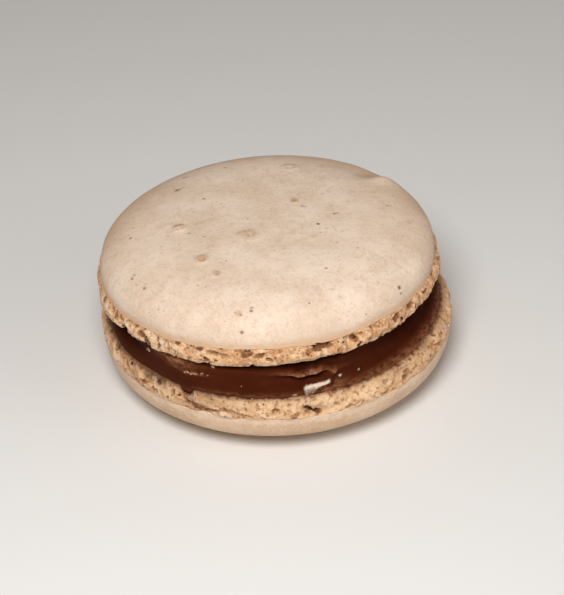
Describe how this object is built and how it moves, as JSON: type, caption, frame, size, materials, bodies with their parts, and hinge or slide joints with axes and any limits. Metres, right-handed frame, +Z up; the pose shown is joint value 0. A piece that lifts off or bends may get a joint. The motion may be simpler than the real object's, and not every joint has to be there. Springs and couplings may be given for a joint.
{
  "type": "macaron",
  "caption": "Round filled almond biscuit: two smooth flat-topped shells with rough frilled feet, and a thick dark chocolate cream layer that shows all round between them.",
  "frame": {"origin": "centre of the small flat spot that the lower shell rests on, on the lower shell's axis", "axes": "+Z up through the cap of the upper shell, -Y towards the side that the picture shows, +X to the picture's right"},
  "size_m": [0.0486, 0.0488, 0.0231],
  "materials": {
    "baked_shell": "pale beige baked almond meringue, satin on the cap and rough golden on the foot",
    "chocolate_cream": "glossy dark brown chocolate cream"
  },
  "bodies": {
    "root": {"upper_shell": "baked_shell", "lower_shell": "baked_shell", "filling": "chocolate_cream"}
  },
  "joints": []
}
